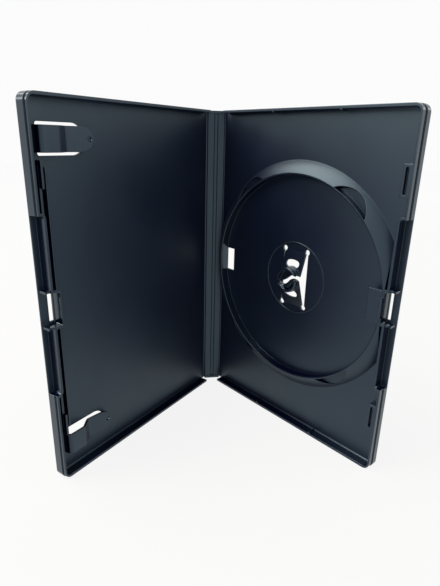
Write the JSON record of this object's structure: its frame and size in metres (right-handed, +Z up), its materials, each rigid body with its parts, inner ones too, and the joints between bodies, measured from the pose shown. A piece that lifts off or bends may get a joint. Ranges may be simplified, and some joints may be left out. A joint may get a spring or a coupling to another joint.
{
  "type": "disc case",
  "caption": "Hinged plastic keep case for a game disc, standing open, with push hub, disc ring, booklet clips, thumb notches and a snap latch.",
  "frame": {"origin": "under the middle of the open case's box, at the level it stands on", "axes": "+Z up along the spine, +X along the back cover from its hinge to its free edge, inside of the back cover towards -Y"},
  "size_m": [0.1406, 0.14, 0.19],
  "materials": {
    "black_polypropylene": "satin moulded polypropylene"
  },
  "bodies": {
    "back_cover": {"back_cover": "black_polypropylene"},
    "hub_tongue_upper": {"hub_tongue_upper": "black_polypropylene"},
    "hub_tongue_lower": {"hub_tongue_lower": "black_polypropylene"},
    "spine": {"spine": "black_polypropylene"},
    "front_cover": {"front_cover": "black_polypropylene"}
  },
  "joints": [
    {"name": "back_hinge", "type": "hinge", "parent": "back_cover", "child": "spine", "pos_m": [-0.06273, 0.06965, 0.095], "axis": [0, 0, -1], "range_deg": [-33, 57]},
    {"name": "front_hinge", "type": "hinge", "parent": "spine", "child": "front_cover", "pos_m": [-0.06997, 0.0585, 0.095], "axis": [0, 0, -1], "range_deg": [-42, 48]},
    {"name": "hub_upper_press", "type": "hinge", "parent": "back_cover", "child": "hub_tongue_upper", "pos_m": [0.00277, 0.06945, 0.112], "axis": [1, 0, 0], "range_deg": [0, 8], "stiffness_Nm_per_rad": 0.8},
    {"name": "hub_lower_press", "type": "hinge", "parent": "back_cover", "child": "hub_tongue_lower", "pos_m": [0.00277, 0.06945, 0.078], "axis": [-1, 0, 0], "range_deg": [0, 8], "stiffness_Nm_per_rad": 0.8}
  ]
}
